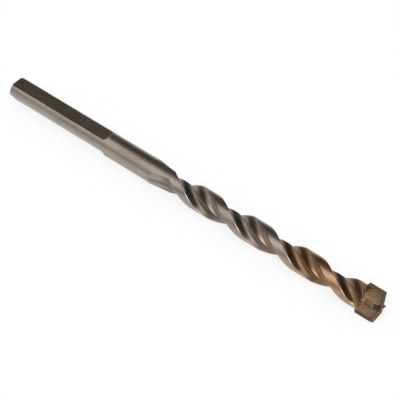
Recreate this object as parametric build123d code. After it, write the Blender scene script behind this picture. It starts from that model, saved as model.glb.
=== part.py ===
from build123d import *
from itertools import pairwise
from math import asin, ceil, cos, degrees, radians, sin, sqrt, tan
import os

# A masonry drill bit for 10 mm holes: one steel body with three shank flats, a two-start
# right-hand flute and a slotted head, and a cross of hard metal cutters brazed into the head.
# It is modelled along +Z with the shank end at z = 0, then laid down as it comes to rest.

# Overall sizes
total_length = 150.0
body_diameter = 8.2
shank_diameter = 8.0
shank_end_radius = 0.5
shoulder_length = 1.0

# Three ground flats that the chuck jaws grip
flat_count = 3
flat_length = 40.0
flat_depth = 0.77
flat_wheel_radius = 2.2

# Flutes: milled with a forming wheel that lifts out at both ends, then twisted, apart from
# the very end of the run-out at the shank, which stays straight
flute_count = 2
flute_length = 90.0
flute_lead = 40.5
land_angle_at_corner = 8.0
land_lead_side = 23.0
land_trail_side = 29.0
ridge_angle = 84.0
ridge_radius = 2.5
lead_groove_sag = 0.55
trail_groove_sag = 0.85
shank_wheel_radius = 21.0
straight_run_out = 8.0
head_wheel_radius = 8.6
head_flute_gap = 4.0
wheel_overrun = 0.3
lift_clearance = 0.1
run_out_steps = 6
longest_twist = 120.0

# Cross of cutters
cutter_span = 10.2
cutter_thickness = 1.4
cutter_length = 6.2
cutter_back_step = 0.6
cutter_back_slope = 1.1
point_angle = 150.0
relief_angle = 25.0
main_cutter_angle = -45.0
side_cutter_span = 8.9
side_cutter_thickness = 1.6
side_cutter_length = 3.3
side_cutter_setback = 0.2
braze_gap = 0.12

# Steel around the cutters
steel_setback = 0.8
head_rounding = 0.35
pocket_radius = 2.0
pocket_angle = 27.0
pocket_depth = 1.15

# Worked out from the sizes above
body_radius = body_diameter / 2
shank_radius = shank_diameter / 2
main_reach = cutter_span / 2
side_reach = side_cutter_span / 2
side_cutter_angle = main_cutter_angle + 90
point_slope = 1 / tan(radians(point_angle / 2))
relief_slope = tan(radians(relief_angle))
main_apex = total_length + relief_slope * cutter_thickness / 2
corner_z = main_apex - main_reach * point_slope
main_back = corner_z - cutter_length - cutter_back_step
side_apex = main_apex - side_cutter_setback
side_back = side_apex - side_reach * point_slope - side_cutter_length
steel_rim = corner_z - steel_setback
dome_height = (body_radius - head_rounding) * point_slope
flute_end = corner_z - head_flute_gap
flute_start = total_length - flute_length
twist_rate = 360 / flute_lead
outside_reach = 2.5
far = 3 * body_diameter
tall = 3 * total_length


def polar(radius, angle):
    """Point at a radius and an angle in degrees, in the plane of a cross-section."""
    return Vector(radius * cos(radians(angle)), radius * sin(radians(angle)))


def bulged_arc(start, end, sag):
    """Arc from start to end whose middle is pulled towards the axis by sag."""
    middle = (start + end) / 2
    chord = end - start
    normal = Vector(-chord.Y, chord.X).normalized()
    if normal.dot(middle) > 0:
        normal = -normal
    return ThreePointArc(start, middle + normal * sag, end)


def wheel_lift(distance, wheel_radius):
    """How far a wheel of this radius has lifted, a distance past its lowest point."""
    return wheel_radius - sqrt(wheel_radius**2 - distance**2)


groove_floor = ridge_radius - max(lead_groove_sag, trail_groove_sag)
full_lift = body_radius - groove_floor + lift_clearance
shank_run_out = sqrt(shank_wheel_radius**2 - (shank_wheel_radius - full_lift) ** 2)
head_run_out = sqrt(head_wheel_radius**2 - (head_wheel_radius - full_lift) ** 2)
twist_start = flute_start + straight_run_out
deep_start = flute_start + shank_run_out
deep_end = flute_end - head_run_out


def flute_section(height):
    """Space cut by the forming wheel at one height: two hollows with a low ridge between."""
    into_shank = max(0.0, deep_start - height)
    into_head = max(0.0, height - deep_end)
    lift = wheel_lift(into_shank, shank_wheel_radius) + wheel_lift(into_head, head_wheel_radius)
    turn = land_angle_at_corner - twist_rate * (corner_z - max(height, twist_start))
    middle_angle = (land_lead_side + 180 - land_trail_side) / 2
    shift = polar(lift, middle_angle)
    lead_corner = polar(body_radius, land_lead_side)
    trail_corner = polar(body_radius, 180 - land_trail_side)
    ridge = polar(ridge_radius, ridge_angle)
    lead_outer = lead_corner + polar(wheel_overrun, land_lead_side)
    trail_outer = trail_corner + polar(wheel_overrun, 180 - land_trail_side)
    outline = [
        Line(lead_outer, lead_corner),
        bulged_arc(lead_corner, ridge, lead_groove_sag),
        bulged_arc(ridge, trail_corner, trail_groove_sag),
        Line(trail_corner, trail_outer),
        ThreePointArc(trail_outer, polar(body_radius + outside_reach, middle_angle), lead_outer),
    ]
    face = make_face(Wire(outline))
    return Pos(0, 0, height) * Rot(0, 0, turn) * Pos(shift.X, shift.Y, 0) * face


def run_out(start, end):
    """The end of a flute where the wheel lifts out, through evenly spaced sections."""
    heights = [start + (end - start) * step / run_out_steps for step in range(run_out_steps + 1)]
    return loft([flute_section(height) for height in heights])


def deep_stretch(start, end):
    """A stretch of even depth, as one twisted prism."""
    rise = end - start
    section = flute_section(start).face()
    return Solid.extrude_linear_with_rotation(section, (0, 0, start), (0, 0, rise), rise * twist_rate)


def flute_cuts():
    """One flute: a run-out, stretches that each turn only so far, and a run-out."""
    count = ceil((deep_end - deep_start) * twist_rate / longest_twist)
    ends = [deep_start + (deep_end - deep_start) * index / count for index in range(count + 1)]
    stretches = [deep_stretch(start, end) for start, end in pairwise(ends)]
    return [run_out(flute_start, deep_start), *stretches, run_out(deep_end, flute_end)]


def rod():
    """The round bar: a slimmer shank with a rounded end, a shoulder and a domed head."""
    end_inner = (shank_radius - shank_end_radius, 0, 0)
    end_outer = (shank_radius, 0, shank_end_radius)
    rim_outer = (body_radius, 0, steel_rim - head_rounding)
    rim_inner = (body_radius - head_rounding, 0, steel_rim)
    dome_top = (0, 0, steel_rim + dome_height)
    shoulder = [(shank_radius, 0, flute_start - shoulder_length), (body_radius, 0, flute_start)]
    outline = Polyline(dome_top, (0, 0, 0), end_inner)
    outline += TangentArc(end_inner, end_outer, tangent=(1, 0, 0))
    outline += Polyline(end_outer, *shoulder, rim_outer)
    outline += TangentArc(rim_outer, rim_inner, tangent=(0, 0, 1))
    outline += TangentArc(dome_top, rim_inner, tangent=(1, 0, 0))
    return revolve(make_face(outline), Axis.Z)


def flat_cut():
    """One shank flat, ground from the end and left with the round of the wheel."""
    depth_line = shank_radius - flat_depth
    straight = Pos(depth_line, 0, 0) * Box(
        far, far, 2 * flat_length, align=(Align.MIN, Align.CENTER, Align.CENTER)
    )
    wheel = Pos(depth_line + flat_wheel_radius, 0, flat_length) * Rot(90, 0, 0) * Cylinder(
        flat_wheel_radius, far
    )
    return straight + wheel


def pocket(angle):
    """A dust groove along the head, with a round end towards the flute."""
    bar = Cylinder(pocket_radius, far, align=(Align.CENTER, Align.CENTER, Align.MIN))
    cut = Pos(body_radius + pocket_radius - pocket_depth, 0, flute_end) * (bar + Sphere(pocket_radius))
    return turned(cut, angle)


def slot(thickness, reach_in, bottom):
    """Space for a cutter and its braze, from reach_in outwards along +X."""
    width = thickness + 2 * braze_gap
    return Pos(reach_in, 0, bottom - braze_gap) * Box(
        far, width, far, align=(Align.MIN, Align.CENTER, Align.MIN)
    )


def turned(shape, angle):
    """The shape turned about the axis of the bit."""
    return Rot(0, 0, angle) * shape


def steel_before_slots():
    """The body with its flats, flutes and dust grooves."""
    steel = rod()
    for index in range(flat_count):
        steel -= turned(flat_cut(), index * 360 / flat_count)
    turns = [index * 360 / flute_count for index in range(flute_count)]
    steel -= [turned(cut, turn) for turn in turns for cut in flute_cuts()]
    for half_turn in (0, 180):
        steel -= pocket(side_cutter_angle + pocket_angle + half_turn)
    return steel


def main_slot():
    """The slot right across the head."""
    both = slot(cutter_thickness, 0, main_back) + turned(slot(cutter_thickness, 0, main_back), 180)
    return turned(both, main_cutter_angle)


def side_slot(half_turn):
    """One of the two shorter slots, open to the main one."""
    opening = slot(side_cutter_thickness, 0, side_back)
    return turned(opening, side_cutter_angle + half_turn) - main_slot()


def relief_space(apex, thickness):
    """Everything in front of one ground facet, whose edge leads on the +Y face."""
    edge_start = Vector(0, thickness / 2, apex)
    along_edge = Vector(1, 0, -point_slope)
    down_relief = Vector(0, -1, -relief_slope)
    facet = Plane(origin=edge_start, x_dir=along_edge, z_dir=down_relief.cross(along_edge))
    return facet * Box(far, far, far, align=(Align.CENTER, Align.CENTER, Align.MIN))


def main_cutter():
    """The cutter that spans the head, with a roof ground on both halves."""
    outline = Polyline(
        (-main_reach, 0, main_apex),
        (main_reach, 0, main_apex),
        (main_reach, 0, main_back + cutter_back_step),
        (main_reach - cutter_back_slope, 0, main_back),
        (cutter_back_slope - main_reach, 0, main_back),
        (-main_reach, 0, main_back + cutter_back_step),
        close=True,
    )
    plate = extrude(make_face(outline), cutter_thickness / 2, both=True)
    plate &= Cylinder(main_reach, tall)
    plate -= relief_space(main_apex, cutter_thickness)
    plate -= turned(relief_space(main_apex, cutter_thickness), 180)
    return turned(plate, main_cutter_angle)


def side_cutter(half_turn):
    """One of the two cutters beside the main one."""
    inner = cutter_thickness / 2 + 2 * braze_gap
    height = side_apex - side_back
    plate = Pos(inner, 0, side_back) * Box(
        side_reach - inner, side_cutter_thickness, height, align=(Align.MIN, Align.CENTER, Align.MIN)
    )
    plate &= Cylinder(side_reach, tall)
    plate -= relief_space(side_apex, side_cutter_thickness)
    return turned(plate, side_cutter_angle + half_turn)


def rest_height():
    """Height of the axis when the bit lies on its body and the corners of its cutters."""
    heights = [body_radius]
    for reach, thickness, angle in (
        (main_reach, cutter_thickness, main_cutter_angle + 180),
        (side_reach, side_cutter_thickness, side_cutter_angle + 180),
    ):
        corner = degrees(asin(thickness / 2 / reach))
        heights += [-reach * cos(radians(angle + sign * corner)) for sign in (-1, 1)]
    return max(heights)


def laid_down(shape):
    """Tip along +X, the first flat facing up, the middle of the length over the origin."""
    rest = Plane(origin=(-total_length / 2, 0, rest_height()), x_dir=(0, 0, 1), z_dir=(1, 0, 0))
    return rest * shape


steel = steel_before_slots()
main_plate = main_cutter()
side_plates = {"a": side_cutter(0), "b": side_cutter(180)}
side_slots = {"a": side_slot(0), "b": side_slot(180)}

parts = {
    "bit_body": steel - main_slot() - side_slots["a"] - side_slots["b"],
    "main_cutter": main_plate,
    "main_braze": (steel & main_slot()) - main_plate,
}
for name, plate in side_plates.items():
    parts[f"side_cutter_{name}"] = plate
    parts[f"side_braze_{name}"] = (steel & side_slots[name]) - plate

os.makedirs("parts", exist_ok=True)
for name, shape in parts.items():
    export_step(laid_down(shape), f"parts/{name}.step")
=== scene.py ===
from math import asin, ceil, cos, pi, radians, sin, sqrt, tan

import bmesh
import bpy
import numpy as np
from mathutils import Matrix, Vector


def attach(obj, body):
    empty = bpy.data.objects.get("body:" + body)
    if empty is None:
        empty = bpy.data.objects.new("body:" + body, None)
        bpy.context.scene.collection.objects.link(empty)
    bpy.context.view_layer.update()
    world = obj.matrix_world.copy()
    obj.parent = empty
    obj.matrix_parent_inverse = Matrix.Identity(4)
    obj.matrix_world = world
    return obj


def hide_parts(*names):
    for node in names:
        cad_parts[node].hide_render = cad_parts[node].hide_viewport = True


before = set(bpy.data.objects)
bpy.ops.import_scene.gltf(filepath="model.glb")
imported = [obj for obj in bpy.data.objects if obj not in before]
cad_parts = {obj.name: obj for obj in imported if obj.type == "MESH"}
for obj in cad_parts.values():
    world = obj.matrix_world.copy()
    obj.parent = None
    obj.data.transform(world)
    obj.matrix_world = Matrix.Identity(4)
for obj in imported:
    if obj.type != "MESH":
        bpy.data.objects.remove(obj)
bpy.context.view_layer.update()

# The body's sizes in millimetres and degrees, the same as those of the solid; the bit stands on its
# shank end, with its axis along z
total_length = 150.0
body_radius = 4.1
shank_radius = 4.0
shank_end_radius = 0.5
shoulder_length = 1.0
flat_count = 3
flat_length = 40.0
flat_depth = 0.77
flat_wheel_radius = 2.2
flute_length = 90.0
flute_lead = 40.5
land_angle_at_corner = 8.0
land_lead_side = 23.0
land_trail_side = 29.0
ridge_angle = 84.0
ridge_radius = 2.5
lead_groove_sag = 0.55
trail_groove_sag = 0.85
shank_wheel_radius = 21.0
straight_run_out = 8.0
head_wheel_radius = 8.6
head_flute_gap = 4.0
lift_clearance = 0.1
cutter_span = 10.2
cutter_thickness = 1.4
cutter_length = 6.2
cutter_back_step = 0.6
point_angle = 150.0
relief_angle = 25.0
main_cutter_angle = -45.0
side_cutter_span = 8.9
side_cutter_thickness = 1.6
side_cutter_length = 3.3
side_cutter_setback = 0.2
braze_gap = 0.12
steel_setback = 0.8
head_rounding = 0.35
pocket_radius = 2.0
pocket_angle = 27.0
pocket_depth = 1.15

# Worked out from them
point_slope = 1 / tan(radians(point_angle / 2))
main_apex = total_length + tan(radians(relief_angle)) * cutter_thickness / 2
corner_z = main_apex - cutter_span / 2 * point_slope
main_back = corner_z - cutter_length - cutter_back_step
side_back = main_apex - side_cutter_setback - side_cutter_span / 2 * point_slope - side_cutter_length
steel_rim = corner_z - steel_setback
flute_end = corner_z - head_flute_gap
flute_start = total_length - flute_length
groove_floor = ridge_radius - max(lead_groove_sag, trail_groove_sag)
full_lift = body_radius - groove_floor + lift_clearance
deep_start = flute_start + sqrt(shank_wheel_radius**2 - (shank_wheel_radius - full_lift) ** 2)
deep_end = flute_end - sqrt(head_wheel_radius**2 - (head_wheel_radius - full_lift) ** 2)
twist_start = flute_start + straight_run_out
dome_base = body_radius - head_rounding
dome_height = dome_base * point_slope
twist_rate = 360 / flute_lead
side_cutter_angle = main_cutter_angle + 90
axis_height = body_radius / 1000

# How finely the body is drawn: a step in millimetres, then counts of rings and points
deep_step = 0.45
run_out_steps = 26
land_points = 9
groove_points = 13
arc_points = 60
rounding_points = 6
wheel_points = 9
pocket_points = 48
dome_shares = (0.85, 0.65, 0.4, 0.1)
pocket_end_share = 0.98

# How far each side of a land corner is worn, in degrees round the axis, and how many such wears
# a hollow is wide at least; then the angle up to which neighbouring faces are shaded as one
edge_wear = 0.9
trail_edge_wear = 2.4
wears_in_hollow = 6
smooth_angle = 32.0

# Points closer than this are joined, in millimetres before a piece is placed and in metres after it
join_distance = 1e-5
placed_join_distance = 1e-7
cutter_join_distance = 1e-6

# The cutters: faces within the first angle are one flat face, edges beyond the second are worn round
cutter_flat_angle = 1.0
cutter_edge_angle = 12.0
cutter_wear = 0.00006
cutter_bevel_segments = 2

# Beads of braze along the joints: spacing, radii and depth in millimetres, the rest as shares
bead_seed = 12
bead_spacing = 0.32
bead_radii = (0.06, 0.15)
bead_stretch = (1.2, 2.6)
bead_scatter = 0.4
bead_run = (0.04, 0.97)
wall_bead_chance = 0.55
open_bead_chance = 0.6
bead_sink = 0.01
bead_levels = (0.1, 0.9)

# Camera, as the photograph shows the bit, from above and nearer to its cutting tip: angles in
# degrees, the lens and sensor in millimetres, all else in metres
camera_azimuth = 40.0
camera_elevation = 46.3
camera_distance = 0.6
camera_lens = 172.2
sensor_width = 36.0
aim_along = 0.00445
aim_down = 0.0004
clip_start = 0.05
clip_end = 20.0

# Studio: the white floor, with its half width in metres, and the light that comes from all round
floor_half = 4.0
floor_colour = (0.9, 0.9, 0.9, 1.0)
floor_glow = 0.8
white = (1.0, 1.0, 1.0, 1.0)
light_strength = 0.9


def to_world(x, y, z):
    """A point of the standing bit, in millimetres, to its place in the frame, in metres."""
    return ((z - total_length / 2) / 1000, -y / 1000, x / 1000 + axis_height)


def link(obj):
    """The object itself, once it is in the scene."""
    bpy.context.scene.collection.objects.link(obj)
    return obj


def grid_mesh(name, rings):
    """A closed mesh through rings of equally many points, with flat ends."""
    count = len(rings[0])
    points = [tuple(point) for ring in rings for point in ring]
    faces = []
    for lower in range(len(rings) - 1):
        for index in range(count):
            after = (index + 1) % count
            base, top = lower * count, (lower + 1) * count
            faces.append((base + index, base + after, top + after, top + index))
    faces.append(tuple(reversed(range(count))))
    faces.append(tuple(range((len(rings) - 1) * count, len(rings) * count)))
    mesh = bpy.data.meshes.new(name)
    mesh.from_pydata(points, [], faces)
    return mesh


def bulged_arc(start, end, sag):
    """Points of the arc from start to end whose middle is pulled towards the axis by sag."""
    start, end = np.array(start), np.array(end)
    middle, chord = (start + end) / 2, end - start
    normal = np.array([-chord[1], chord[0]]) / np.linalg.norm(chord)
    if normal @ middle > 0:
        normal = -normal
    half = np.linalg.norm(chord) / 2
    radius = (half**2 + sag**2) / (2 * sag)
    centre = middle + normal * (sag - radius)
    swing = asin(half / radius) * np.linspace(-1, 1, arc_points)
    along = chord / (2 * half)
    return centre + radius * (np.outer(np.sin(swing), along) + np.outer(np.cos(swing), normal))


def polar(radius, angle):
    """The point of the section at this radius and angle."""
    return radius * cos(radians(angle)), radius * sin(radians(angle))


lead_arc = bulged_arc(polar(body_radius, land_lead_side), polar(ridge_radius, ridge_angle), lead_groove_sag)
trail_arc = bulged_arc(
    polar(ridge_radius, ridge_angle), polar(body_radius, 180 - land_trail_side), trail_groove_sag
)
flute_middle = (land_lead_side + 180 - land_trail_side) / 2
lift_direction = np.array(polar(1, flute_middle))


def wheel_lift(distance, wheel_radius):
    """How far the flute has risen at this distance beyond its deep part."""
    if distance <= 0:
        return 0.0
    return min(wheel_radius - sqrt(max(wheel_radius**2 - distance**2, 0)), full_lift)


def lobe(arc, lift, radius):
    """Angles and radii of one hollow, and the two angles at which it leaves the round of the body."""
    moved = arc + lift * lift_direction
    angles = np.degrees(np.arctan2(moved[:, 1], moved[:, 0]))
    radii = np.hypot(moved[:, 0], moved[:, 1])
    inside = np.nonzero(radii < radius)[0]
    if len(inside) == 0:
        lowest = angles[radii.argmin()]
        return angles, radii, lowest, lowest
    ends = []
    for index, step in ((inside[0], -1), (inside[-1], 1)):
        beyond = index + step
        if 0 <= beyond < len(radii):
            share = (radius - radii[index]) / (radii[beyond] - radii[index])
            ends.append(angles[index] + share * (angles[beyond] - angles[index]))
        else:
            ends.append(angles[index])
    return angles, radii, *ends


def body_ring(height, radius):
    """The section at one height: two lands, and two flutes of two hollows each, with worn edges."""
    lift = wheel_lift(deep_start - height, shank_wheel_radius)
    lift += wheel_lift(height - deep_end, head_wheel_radius)
    angles_a, radii_a, first, ridge_a = lobe(lead_arc, lift, radius)
    angles_b, radii_b, ridge_b, last = lobe(trail_arc, lift, radius)
    wear_a = min(edge_wear, (ridge_a - first) / wears_in_hollow)
    wear_b = min(trail_edge_wear, (last - ridge_b) / wears_in_hollow)
    sector_start = (land_lead_side - land_trail_side) / 2
    marks = np.concatenate(
        [
            np.linspace(sector_start, first - 2 * wear_a, land_points),
            first + wear_a * np.array([-1, 0, 1]),
            np.linspace(first + 2 * wear_a, ridge_a - 2 * wear_a, groove_points),
            [ridge_a - wear_a, ridge_a, (ridge_a + ridge_b) / 2, ridge_b, ridge_b + wear_b],
            np.linspace(ridge_b + 2 * wear_b, last - 2 * wear_b, groove_points),
            last + wear_b * np.array([-1, 0, 1]),
            np.linspace(last + 2 * wear_b, sector_start + 180, land_points)[:-1],
        ]
    )
    known = np.concatenate([angles_a, angles_b])
    radii = np.minimum(np.interp(marks, known, np.concatenate([radii_a, radii_b])), radius)
    radii[(marks <= first) | (marks >= last)] = radius
    if ridge_b > ridge_a + edge_wear:
        radii[(marks >= ridge_a) & (marks <= ridge_b)] = radius
    turn = land_angle_at_corner - twist_rate * (corner_z - min(max(height, twist_start), flute_end))
    around = np.radians(np.concatenate([marks, marks + 180]) + turn)
    radii = np.concatenate([radii, radii])
    x, y = radii * np.cos(around), radii * np.sin(around)
    # A worn corner moves half way to the middle of its neighbours; the trailing corner does so
    # twice, and its neighbours once in between
    lead_corner, trail_corner = land_points + 1, len(marks) - land_points - 1
    corners = [lead_corner, trail_corner, trail_corner - 1, trail_corner + 1, trail_corner]
    for corner in corners + [index + len(marks) for index in corners]:
        before, after = corner - 1, corner + 1
        mean = (x[before] + x[after]) / 2, (y[before] + y[after]) / 2
        x[corner], y[corner] = (x[corner] + mean[0]) / 2, (y[corner] + mean[1]) / 2
    return [(px, py, height) for px, py in zip(x, y)]


def body_rings():
    """Every section of the body, from the shank end to the top of its dome."""
    quarter = np.linspace(0, pi / 2, rounding_points)
    profile = [
        (shank_end_radius * (1 - cos(t)), shank_radius - shank_end_radius * (1 - sin(t))) for t in quarter
    ]
    profile.append((flute_start - shoulder_length, shank_radius))
    profile.append((flute_start - shoulder_length / 2, (shank_radius + body_radius) / 2))
    heights = list(np.linspace(flute_start, deep_start, run_out_steps))
    heights += list(np.linspace(deep_start, deep_end, ceil((deep_end - deep_start) / deep_step)))[1:]
    heights += list(np.linspace(deep_end, flute_end, run_out_steps))[1:]
    profile += [(height, body_radius) for height in heights]
    profile += [
        (steel_rim - head_rounding * (1 - sin(t)), body_radius - head_rounding * (1 - cos(t)))
        for t in quarter
    ]
    dome_radius = (dome_base**2 + dome_height**2) / (2 * dome_height)
    for share in dome_shares:
        reach = dome_base * share
        drop = dome_radius - sqrt(dome_radius**2 - reach**2)
        profile.append((steel_rim + dome_height - drop, reach))
    return [body_ring(height, radius) for height, radius in profile]


def flat_cutter(angle):
    """The ground-away space over one shank flat, with the round of the wheel at its end."""
    floor = shank_radius - flat_depth
    outside = 3 * shank_radius
    outline = [(floor, -shank_radius)]
    for t in np.linspace(0, pi / 2, wheel_points):
        reach = floor + flat_wheel_radius * (1 - cos(t))
        outline.append((reach, flat_length + flat_wheel_radius * sin(t)))
    outline += [(outside, flat_length + flat_wheel_radius), (outside, -shank_radius)]
    return [turned([(x, side * outside, z) for x, z in outline], angle) for side in (-1, 1)]


def pocket_cutter(angle):
    """The dust groove along the head, with a round end towards the flute."""
    centre = body_radius + pocket_radius - pocket_depth
    rings = []
    for t in np.linspace(-pi / 2 * pocket_end_share, 0, wheel_points):
        rings.append((flute_end + pocket_radius * sin(t), pocket_radius * cos(t)))
    rings.append((total_length + body_radius, pocket_radius))
    around = np.linspace(0, 2 * pi, pocket_points + 1)[:-1]
    return [
        turned([(centre + radius * cos(t), radius * sin(t), z) for t in around], angle) for z, radius in rings
    ]


def slot_cutter(thickness, bottom, angle):
    """The slot for a cutter and its braze, right across the head."""
    half, reach = thickness / 2 + braze_gap, 2 * body_radius
    corners = [(-reach, -half), (reach, -half), (reach, half), (-reach, half)]
    levels = (bottom - braze_gap, total_length + body_radius)
    return [turned([(x, y, z) for x, y in corners], angle) for z in levels]


def turned(points, angle):
    """The points, turned about the axis of the bit."""
    c, s = cos(radians(angle)), sin(radians(angle))
    return [(x * c - y * s, x * s + y * c, z) for x, y, z in points]


def cut(obj, rings):
    """Takes the closed shape through these rings away from the object, as a lasting change."""
    tool = link(bpy.data.objects.new("tool", grid_mesh("tool", rings)))
    tidy(tool.data)
    change = obj.modifiers.new("cut", "BOOLEAN")
    change.operation = "DIFFERENCE"
    change.solver = "EXACT"
    change.object = tool
    made = bpy.data.meshes.new_from_object(obj.evaluated_get(bpy.context.evaluated_depsgraph_get()))
    obj.modifiers.clear()
    obj.data = made
    bpy.data.objects.remove(tool)


def tidy(mesh, distance=join_distance):
    """Joins points that fall together and turns every face outwards."""
    shape = bmesh.new()
    shape.from_mesh(mesh)
    bmesh.ops.remove_doubles(shape, verts=shape.verts, dist=distance)
    bmesh.ops.dissolve_degenerate(shape, edges=shape.edges, dist=distance)
    bmesh.ops.recalc_face_normals(shape, faces=shape.faces)
    shape.to_mesh(mesh)
    shape.free()


def finish_shading(mesh):
    """Smooth shading, with true edges kept sharp."""
    mesh.shade_smooth()
    mesh.set_sharp_from_angle(angle=radians(smooth_angle))


def make_body():
    """The steel body: its rings, less the flats, the dust grooves and the slots."""
    obj = link(bpy.data.objects.new("steel_body", grid_mesh("steel_body", body_rings())))
    tidy(obj.data)
    for index in range(flat_count):
        cut(obj, flat_cutter(index * 360 / flat_count))
    for half_turn in (0, 180):
        cut(obj, pocket_cutter(side_cutter_angle + pocket_angle + half_turn))
    cut(obj, slot_cutter(cutter_thickness, main_back, main_cutter_angle))
    cut(obj, slot_cutter(side_cutter_thickness, side_back, side_cutter_angle))
    points = np.array([vertex.co for vertex in obj.data.vertices])
    placed = np.array([to_world(*point) for point in points])
    obj.data.vertices.foreach_set("co", placed.ravel())
    tidy(obj.data, placed_join_distance)
    finish_shading(obj.data)
    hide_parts("bit_body")
    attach(obj, "root")
    return obj


def cutter_piece(node):
    """A cutter as the solid has it, with its edges worn round."""
    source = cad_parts[node]
    obj = link(bpy.data.objects.new(f"worn_{node}", source.data.copy()))
    shape = bmesh.new()
    shape.from_mesh(obj.data)
    bmesh.ops.remove_doubles(shape, verts=shape.verts, dist=cutter_join_distance)
    flat, hard = radians(cutter_flat_angle), radians(cutter_edge_angle)
    bmesh.ops.dissolve_limit(shape, angle_limit=flat, verts=shape.verts, edges=shape.edges)
    bmesh.ops.bevel(
        shape,
        geom=[edge for edge in shape.edges if edge.is_manifold and edge.calc_face_angle(0) > hard],
        offset=cutter_wear,
        segments=cutter_bevel_segments,
        profile=0.5,
        affect="EDGES",
        clamp_overlap=True,
    )
    shape.to_mesh(obj.data)
    shape.free()
    obj.data.materials.clear()
    finish_shading(obj.data)
    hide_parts(node)
    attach(obj, "root")
    return obj


class Nodes:
    """A short way to write the nodes of one material."""

    def __init__(self, name):
        self.material = bpy.data.materials.new(name)
        self.material.use_nodes = True
        self.tree = self.material.node_tree
        self.shader = self.tree.nodes["Principled BSDF"]

    def add(self, kind, links=None, **settings):
        """A new node, with sockets linked or set, and its own settings."""
        node = self.tree.nodes.new(kind)
        for key, value in settings.items():
            setattr(node, key, value)
        for socket, value in (links or {}).items():
            if isinstance(value, bpy.types.NodeSocket):
                self.tree.links.new(value, node.inputs[socket])
            else:
                node.inputs[socket].default_value = value
        return node

    def math(self, operation, a, b=0.0, clamp=False):
        """The result of one operation on two values."""
        node = self.add("ShaderNodeMath", {0: a, 1: b}, operation=operation)
        node.use_clamp = clamp
        return node.outputs[0]

    def ramp(self, value, low, high):
        """From 0 to 1 as the value goes from low to high, softly."""
        node = self.add("ShaderNodeMapRange", {"Value": value, "From Min": low, "From Max": high})
        node.interpolation_type = "SMOOTHSTEP"
        return node.outputs["Result"]

    def between(self, share, a, b):
        """A colour between two, each a colour or a socket."""
        node = self.add("ShaderNodeMix", data_type="RGBA")
        factor, first, second = (node.inputs[index] for index in (0, 6, 7))
        for socket, value in ((factor, share), (first, a), (second, b)):
            if isinstance(value, bpy.types.NodeSocket):
                self.tree.links.new(value, socket)
            elif isinstance(value, tuple):
                socket.default_value = (*value, 1.0)
            else:
                socket.default_value = value
        return node.outputs[2]

    def noise(self, coordinates, scale, detail, roughness):
        """Noise from 0 to 1 at this scale."""
        links = {"Vector": coordinates, "Scale": scale, "Detail": detail, "Roughness": roughness}
        return self.add("ShaderNodeTexNoise", links).outputs["Fac"]

    def stretched(self, coordinates, scales):
        """The coordinates times a scale along each axis."""
        return self.add("ShaderNodeMapping", {"Vector": coordinates, "Scale": scales}).outputs[0]

    def times(self, a, b):
        return self.math("MULTIPLY", a, b)

    def plus(self, a, b):
        return self.math("ADD", a, b)

    def minus(self, a, b):
        return self.math("SUBTRACT", a, b)

    def into(self, socket, value):
        """Links the value to a socket of the shader."""
        self.tree.links.new(value, self.shader.inputs[socket])

    def bump(self, height, distance, strength):
        """Small relief from a height."""
        node = self.add("ShaderNodeBump", {"Height": height, "Distance": distance, "Strength": strength})
        self.tree.links.new(node.outputs[0], self.shader.inputs["Normal"])


# Colours of the metal, as light as it reflects
plain_steel = (0.4, 0.345, 0.299)
shaded_steel = (0.315, 0.27, 0.231)
# Painted shade: the darker steel of the flute hollows
flute_shade_steel = (0.2, 0.168, 0.141)
# Worn steel for the land corners and ridges, bare and tinted, lightened as a painted highlight
worn_highlight_steel = (0.68, 0.61, 0.56)
worn_highlight_tan = (0.68, 0.5, 0.38)
tan_tint = (0.46, 0.29, 0.178)
bronze_tint = (0.262, 0.158, 0.096)
# The brown of the head's rough steel and of stains, also the colour of painted shade in the tinted flutes
head_brown_and_shade = (0.145, 0.083, 0.045)
drum_tan = (0.285, 0.17, 0.096)
hard_metal = (0.2, 0.122, 0.072)
hard_metal_light = (0.3, 0.188, 0.114)
hard_metal_dark = (0.06, 0.04, 0.028)
braze_gold = (0.62, 0.44, 0.25)
braze_dull = (0.2, 0.13, 0.07)
black = (0.0, 0.0, 0.0)

# Patterns on the metal, each with a scale per metre, a detail and a roughness; the streaks' own
# scales are coarse along the bit and fine across it
steel_cloud = (170.0, 3.0, 0.5)
steel_grain = (2600.0, 4.0, 0.6)
steel_speckle = (3600.0, 2.0, 0.5)
steel_crust = (5200.0, 3.0, 0.6)
steel_streak = (1.0, 4.0, 0.6)
streak_scales = (90.0, 1700.0, 1700.0)
carbide_cloud = (700.0, 4.0, 0.6)
carbide_grain = (4200.0, 3.0, 0.6)
braze_cloud = (1500.0, 4.0, 0.6)

# Where each kind of surface begins and is complete, in metres from the axis
land_range = (0.0036, 0.00402)
blasted_range = (0.00385, 0.00397)

# The same in metres along the bit, from its middle
drum_start = (flute_end - total_length / 2) / 1000
corner_x = (corner_z - total_length / 2) / 1000
fluted_range = (-0.011, -0.008)
drum_range = (drum_start - 0.0012, drum_start + 0.0004)
tint_range = (0.023, 0.036)
land_tint_delay = 0.014
tint_waver = 0.012

# Lines that follow the flutes: the angle of each, and how near it counts fully and not at all, in degrees
trail_corner_angle = 180 - land_trail_side
shade_line = (trail_corner_angle - 17, 9, 18)
corner_highlight_line = (trail_corner_angle, 2, 7)
ridge_highlight_line = (ridge_angle, 2, 10)

# From where to where in a pattern an effect grows
mottle_range = (0.36, 0.6)
flute_shade_range = (0.2, 0.65)
stain_range = (0.45, 0.7)
worn_highlight_range = (0.3, 0.6)
crust_range = (0.42, 0.62)
speck_range = (0.56, 0.62)
speck_grain_range = (0.45, 0.6)
carbide_range = (0.35, 0.65)
carbide_edge_range = (0.51, 0.58)
braze_range = (0.4, 0.62)

# How much of each effect there is
cloud_share = 0.35
streak_share = 0.35
speckle_share = 0.3
shade_share = 0.7
shade_left = 0.3
stain_share = 0.4
ridge_highlight_share = 0.3
worn_highlight_share = 0.85

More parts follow.
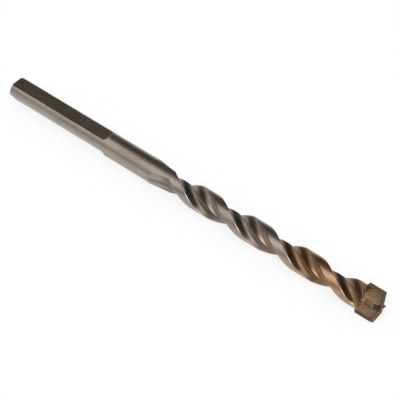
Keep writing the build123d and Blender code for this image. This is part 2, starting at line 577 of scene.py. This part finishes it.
# Roughness, metal and relief
steel_rough = 0.32
streak_rough = 0.12
worn_polish = 0.06
drum_rough = 0.34
drum_unmetal = 0.5
drum_relief = 3.0
blasted_relief = 0.9
ground_relief = 0.3
streak_relief = 0.6
carbide_rough = 0.42
carbide_cloud_rough = 0.2
carbide_metal = 0.85
braze_rough = 0.15
braze_cloud_rough = 0.3
steel_bump = (0.00002, 0.5)
carbide_bump = (0.000025, 0.6)
braze_bump = (0.00003, 0.7)


def round_the_flutes(n, across, along, lifted):
    """The angle round the axis from the middle of a land, in radians, which follows the twist."""
    around = n.math("ARCTAN2", n.times(across, -1.0), lifted)
    back = n.minus(corner_x, along)
    turned_back = n.times(back, radians(twist_rate) * 1000)
    angle = n.plus(n.minus(around, radians(land_angle_at_corner)), turned_back)
    return n.math("FLOORED_MODULO", angle, pi)


def near(n, value, place, full, none):
    """1 where the value is close to the place, and 0 further off."""
    distance = n.math("ABSOLUTE", n.minus(value, radians(place)))
    return n.minus(1.0, n.ramp(distance, radians(full), radians(none)))


def steel_material():
    """Bare steel that turns bronze towards the head, tan on its lands and brown in its flutes, with painted
    shade in the flutes and painted highlights along the land corners and ridges.
    """
    n = Nodes("tinted_steel")
    place = n.add("ShaderNodeTexCoord").outputs["Object"]
    along, across, up = n.add("ShaderNodeSeparateXYZ", {0: place}).outputs
    lifted = n.minus(up, axis_height)
    radius = n.math("SQRT", n.plus(n.times(across, across), n.times(lifted, lifted)))
    land = n.ramp(radius, *land_range)
    fluted = n.ramp(along, *fluted_range)
    angle = round_the_flutes(n, across, along, lifted)
    cloud = n.noise(place, *steel_cloud)
    grain = n.noise(place, *steel_grain)
    streak = n.noise(n.stretched(place, streak_scales), *steel_streak)
    speckle = n.noise(place, *steel_speckle)

    # Bare steel, with painted shade: darker in the flute hollows and darkest beside the trailing corner of
    # each land
    mottled = n.plus(n.times(cloud, cloud_share), n.times(streak, streak_share))
    mottled = n.plus(mottled, n.times(speckle, speckle_share))
    bare = n.between(n.ramp(mottled, *mottle_range), shaded_steel, plain_steel)
    groove = n.times(n.minus(1.0, land), fluted)
    # Painted shade in the flute hollows, in patches after the cloud
    bare = n.between(n.times(groove, n.ramp(cloud, *flute_shade_range)), bare, flute_shade_steel)
    # Painted shade: a dark band on the trailing wall of each flute, beside the land's corner
    shade = n.times(n.times(near(n, angle, *shade_line), fluted), shade_share)
    bare = n.between(shade, bare, n.between(shade_left, black, bare))

    # The heat tint, which starts later on the lands
    wavering = n.plus(along, n.times(n.minus(cloud, 0.5), tint_waver))
    wavering = n.minus(wavering, n.times(land, land_tint_delay))
    tint = n.ramp(wavering, *tint_range)
    warm = n.between(land, bronze_tint, tan_tint)
    warm = n.between(n.ramp(cloud, *stain_range), warm, n.between(stain_share, warm, head_brown_and_shade))
    # The same painted shade in the tinted part, drawn towards the brown
    warm = n.between(shade, warm, head_brown_and_shade)
    colour = n.between(tint, bare, warm)

    # Bright lines along the trailing corners and the ridges: worn steel, lightened in colour as a painted
    # highlight
    edge = n.times(near(n, angle, *corner_highlight_line), land)
    ridge_wear_and_highlight = near(n, angle, *ridge_highlight_line)
    worn = n.math("MAXIMUM", edge, n.times(ridge_wear_and_highlight, ridge_highlight_share))
    worn = n.times(n.times(worn, fluted), n.ramp(grain, *worn_highlight_range))
    colour = n.between(n.times(worn, worn_highlight_share), colour, n.between(tint, worn_highlight_steel, worn_highlight_tan))

    # The rough brown head with its golden specks
    drum = n.ramp(along, *drum_range)
    crust = n.noise(place, *steel_crust)
    rough_brown = n.between(n.ramp(crust, *crust_range), head_brown_and_shade, drum_tan)
    specks = n.times(n.ramp(crust, *speck_range), n.ramp(grain, *speck_grain_range))
    rough_brown = n.between(specks, rough_brown, braze_gold)
    n.into("Base Color", n.between(drum, colour, rough_brown))

    rough = n.plus(n.times(streak, streak_rough), steel_rough)
    rough = n.minus(rough, n.times(worn, worn_polish))
    n.into("Roughness", n.plus(rough, n.times(drum, drum_rough)))
    n.into("Metallic", n.minus(1.0, n.times(drum, drum_unmetal)))
    coarse = n.times(n.times(crust, drum), drum_relief)
    blasted = n.plus(n.times(n.ramp(radius, *blasted_range), blasted_relief), ground_relief)
    height = n.plus(n.times(blasted, grain), n.times(streak, streak_relief))
    n.bump(n.plus(height, coarse), *steel_bump)
    return n.material


def carbide_material():
    """Ground hard metal under a brown film, worn darker along its edges."""
    n = Nodes("hard_metal")
    place = n.add("ShaderNodeTexCoord").outputs["Object"]
    cloud = n.noise(place, *carbide_cloud)
    grain = n.noise(place, *carbide_grain)
    worn = n.add("ShaderNodeNewGeometry").outputs["Pointiness"]
    base = n.between(n.ramp(cloud, *carbide_range), hard_metal, hard_metal_light)
    n.into("Base Color", n.between(n.ramp(worn, *carbide_edge_range), base, hard_metal_dark))
    n.into("Roughness", n.plus(n.times(cloud, carbide_cloud_rough), carbide_rough))
    n.shader.inputs["Metallic"].default_value = carbide_metal
    n.bump(n.plus(grain, cloud), *carbide_bump)
    return n.material


def braze_material():
    """Braze metal, bright where it is fresh and dull brown where the heat has taken it."""
    n = Nodes("braze_metal")
    place = n.add("ShaderNodeTexCoord").outputs["Object"]
    cloud = n.noise(place, *braze_cloud)
    n.into("Base Color", n.between(n.ramp(cloud, *braze_range), braze_dull, braze_gold))
    n.into("Roughness", n.plus(n.times(cloud, braze_cloud_rough), braze_rough))
    n.shader.inputs["Metallic"].default_value = 1.0
    n.bump(cloud, *braze_bump)
    return n.material


def bead_line(start, end, angle, chance, rng):
    """Small drops of braze along a joint, each a place, a direction and a size in millimetres."""
    start, end = np.array(start), np.array(end)
    length = np.linalg.norm(end - start)
    drops = []
    for share in np.arange(*bead_run, bead_spacing / length):
        if rng.random() < chance:
            along = share + rng.uniform(-bead_scatter, bead_scatter) * bead_spacing / length
            place = turned([start + along * (end - start)], angle)[0]
            direction_along = turned([(end - start) / length], angle)[0]
            drops.append((place, direction_along, rng.uniform(*bead_radii)))
    return drops


def make_beads():
    """Drops and thin runs of braze metal that stand proud of the joints round the cutters."""
    rng = np.random.default_rng(bead_seed)
    half = cutter_thickness / 2 + braze_gap / 2
    wall = sqrt(body_radius**2 - half**2) - bead_sink
    brim, crown = (steel_rim + dome_height * level for level in bead_levels)
    drops = []
    for side in (-1, 1):
        for end in (-1, 1):
            joint = (end * wall, side * half)
            foot, top = (*joint, main_back), (*joint, steel_rim)
            drops += bead_line(foot, top, main_cutter_angle, wall_bead_chance, rng)
            inner = (end * side_cutter_thickness / 2, side * half, crown)
            outer = (end * (wall - head_rounding), side * half, brim)
            drops += bead_line(inner, outer, main_cutter_angle, open_bead_chance, rng)
    half = side_cutter_thickness / 2 + braze_gap / 2
    for end in (0, 180):
        foot, top = (wall, -half, side_back), (wall, -half, steel_rim)
        drops += bead_line(foot, top, side_cutter_angle + end, open_bead_chance, rng)
    shape = bmesh.new()
    for place, along, size in drops:
        made = bmesh.ops.create_icosphere(shape, subdivisions=2, radius=1)["verts"]
        turn = Vector((0, 0, 1)).rotation_difference(Vector(along)).to_matrix()
        stretch = rng.uniform(*bead_stretch)
        for vertex in made:
            local = Vector((vertex.co.x, vertex.co.y, vertex.co.z * stretch)) * size
            vertex.co = to_world(*(turn @ local + Vector(place)))
    mesh = bpy.data.meshes.new("braze_beads")
    shape.to_mesh(mesh)
    shape.free()
    mesh.shade_smooth()
    obj = link(bpy.data.objects.new("braze_beads", mesh))
    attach(obj, "root")
    return obj


def emitter(name, colour):
    """A surface of one even brightness."""
    n = Nodes(name)
    glow = n.add("ShaderNodeEmission", {"Color": (*colour, 1.0)})
    n.tree.links.new(glow.outputs[0], n.tree.nodes["Material Output"].inputs["Surface"])
    n.tree.nodes.remove(n.shader)
    return n.material


def seen_rays(n):
    """1 for rays that come from the camera, a reflection or through glass."""
    path = n.add("ShaderNodeLightPath")
    seen = n.plus(path.outputs["Is Camera Ray"], path.outputs["Is Glossy Ray"])
    return n.math("ADD", seen, path.outputs["Is Transmission Ray"], clamp=True)


def make_floor():
    """A plain white floor that keeps a soft shadow of the bit."""
    corners = [(x * floor_half, y * floor_half, 0) for x, y in ((-1, -1), (1, -1), (1, 1), (-1, 1))]
    mesh = bpy.data.meshes.new("floor")
    mesh.from_pydata(corners, [], [(0, 1, 2, 3)])
    n = Nodes("floor")
    n.shader.inputs["Base Color"].default_value = floor_colour
    n.shader.inputs["Roughness"].default_value = 1.0
    n.shader.inputs["Specular IOR Level"].default_value = 0.0
    glow = n.add("ShaderNodeEmission")
    share = n.times(seen_rays(n), floor_glow)
    both = n.add("ShaderNodeMixShader", {0: share, 1: n.shader.outputs[0], 2: glow.outputs[0]})
    n.tree.links.new(both.outputs[0], n.tree.nodes["Material Output"].inputs["Surface"])
    mesh.materials.append(n.material)
    link(bpy.data.objects.new("floor", mesh))


def make_world():
    """Even studio light, which the camera and reflections see as white."""
    world = bpy.data.worlds.new("studio")
    bpy.context.scene.world = world
    world.use_nodes = True
    tree = world.node_tree
    background = tree.nodes["Background"]
    background.inputs["Color"].default_value = white
    path = tree.nodes.new("ShaderNodeLightPath")
    total = path.outputs["Is Camera Ray"]
    for name in ("Is Glossy Ray", "Is Transmission Ray"):
        add = tree.nodes.new("ShaderNodeMath")
        tree.links.new(total, add.inputs[0])
        tree.links.new(path.outputs[name], add.inputs[1])
        total = add.outputs[0]
    strength = tree.nodes.new("ShaderNodeMapRange")
    strength.inputs["To Min"].default_value = light_strength
    tree.links.new(total, strength.inputs["Value"])
    tree.links.new(strength.outputs[0], background.inputs["Strength"])


def card(name, low_angle, high_angle, distance, half_width, colour):
    """A long card beside the bit that only its reflections see, between two angles over the front floor."""
    corners = []
    for angle, sides in ((low_angle, (-1, 1)), (high_angle, (1, -1))):
        y, z = -distance * cos(radians(angle)), distance * sin(radians(angle))
        corners += [(side * half_width, y, z + axis_height) for side in sides]
    mesh = bpy.data.meshes.new(name)
    mesh.from_pydata(corners, [], [(0, 1, 2, 3)])
    mesh.materials.append(emitter(name, colour))
    obj = link(bpy.data.objects.new(name, mesh))
    obj.visible_camera = False
    obj.visible_diffuse = False
    obj.visible_shadow = False


def lamp(name, azimuth, elevation, distance, size, power):
    """A round soft lamp that looks at the middle of the bit."""
    data = bpy.data.lights.new(name, "AREA")
    data.shape = "DISK"
    data.size = size
    data.energy = power
    obj = link(bpy.data.objects.new(name, data))
    back = direction(azimuth, elevation)
    obj.location = back * distance
    obj.rotation_mode = "QUATERNION"
    obj.rotation_quaternion = (-back).to_track_quat("-Z", "Y")


def direction(azimuth, elevation):
    """Towards a viewer at this azimuth and elevation, in degrees."""
    a, e = radians(azimuth), radians(elevation)
    return Vector((sin(a) * cos(e), -cos(a) * cos(e), sin(e)))


def make_camera():
    """The camera at the photograph's viewing angle."""
    data = bpy.data.cameras.new("camera")
    data.lens = camera_lens
    data.sensor_width = sensor_width
    data.clip_start = clip_start
    data.clip_end = clip_end
    obj = link(bpy.data.objects.new("camera", data))
    back = direction(camera_azimuth, camera_elevation)
    obj.location = Vector((aim_along, -aim_down, axis_height)) + back * camera_distance
    obj.rotation_mode = "QUATERNION"
    obj.rotation_quaternion = (-back).to_track_quat("-Z", "Y")
    bpy.context.scene.camera = obj


make_body().data.materials.append(steel_material())
carbide = carbide_material()
for node in ("main_cutter", "side_cutter_a", "side_cutter_b"):
    cutter_piece(node).data.materials.append(carbide)
braze = braze_material()
make_beads().data.materials.append(braze)
for node in ("main_braze", "side_braze_a", "side_braze_b"):
    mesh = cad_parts[node].data
    mesh.materials.clear()
    mesh.materials.append(braze)

bpy.context.scene.view_settings.view_transform = "Standard"
make_camera()
make_floor()
make_world()
card("dark_card", low_angle=89, high_angle=178, distance=0.8, half_width=1.5, colour=(0.09, 0.085, 0.075))
card("grey_card", low_angle=0, high_angle=29, distance=0.9, half_width=1.5, colour=(0.36, 0.36, 0.35))
lamp("key_lamp", azimuth=15, elevation=62, distance=0.9, size=0.6, power=2.4)
